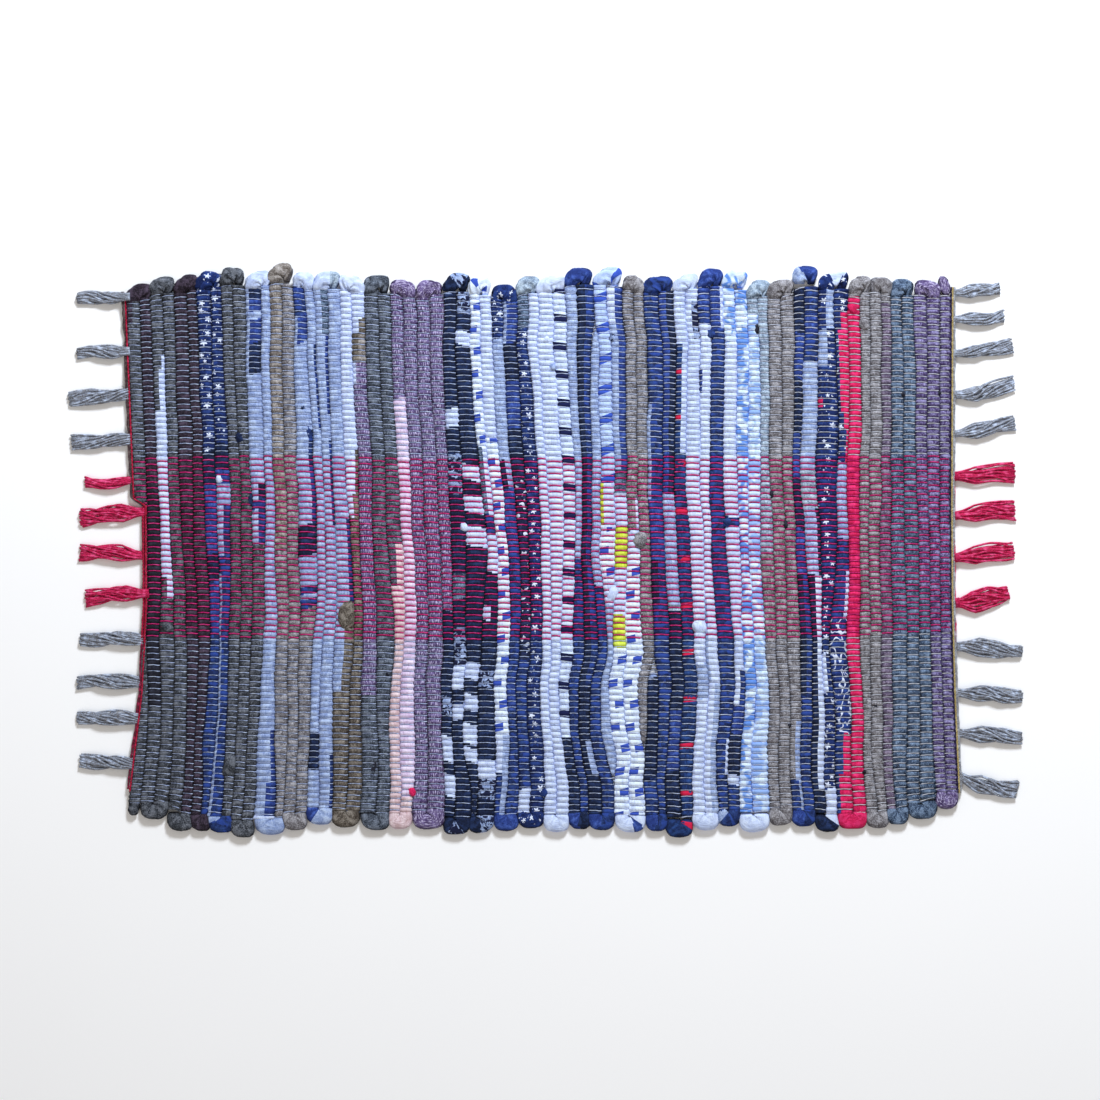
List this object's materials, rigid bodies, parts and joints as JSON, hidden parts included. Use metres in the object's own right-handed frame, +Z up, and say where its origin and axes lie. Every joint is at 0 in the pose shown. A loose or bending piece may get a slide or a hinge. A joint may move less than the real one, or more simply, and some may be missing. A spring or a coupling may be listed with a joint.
{
  "type": "rag rug",
  "caption": "Flat woven rag rug of mixed cotton strips on thin warps, with uneven turned edges and knotted warp tassels at both ends.",
  "frame": {"origin": "on the floor under the middle of the rug's overall outline, tassels included", "axes": "+X along the warps from the crimson heading to the straw heading, +Y along the rag strips, +Z up out of the face shown"},
  "size_m": [1.0408, 0.626, 0.0092],
  "materials": {
    "mixed_rags": "matt woven cotton rags in many colours",
    "crimson_twine": "matt twisted cotton",
    "straw_twine": "matt twisted cotton",
    "grey_warp": "matt cotton yarn",
    "magenta_warp": "matt cotton yarn"
  },
  "bodies": {
    "root": {"rag_field": "mixed_rags", "heading_left": "crimson_twine", "heading_right": "straw_twine", "tassel_left_01": "grey_warp", "tassel_left_02": "grey_warp", "tassel_left_03": "grey_warp", "tassel_left_04": "grey_warp", "tassel_left_05": "magenta_warp", "tassel_left_06": "magenta_warp", "tassel_left_07": "magenta_warp", "tassel_left_08": "magenta_warp", "tassel_left_09": "grey_warp", "tassel_left_10": "grey_warp", "tassel_left_11": "grey_warp", "tassel_left_12": "grey_warp", "tassel_right_01": "grey_warp", "tassel_right_02": "grey_warp", "tassel_right_03": "grey_warp", "tassel_right_04": "grey_warp", "tassel_right_05": "grey_warp", "tassel_right_06": "magenta_warp", "tassel_right_07": "magenta_warp", "tassel_right_08": "magenta_warp", "tassel_right_09": "magenta_warp", "tassel_right_10": "grey_warp", "tassel_right_11": "grey_warp", "tassel_right_12": "grey_warp", "tassel_right_13": "grey_warp"}
  },
  "joints": []
}
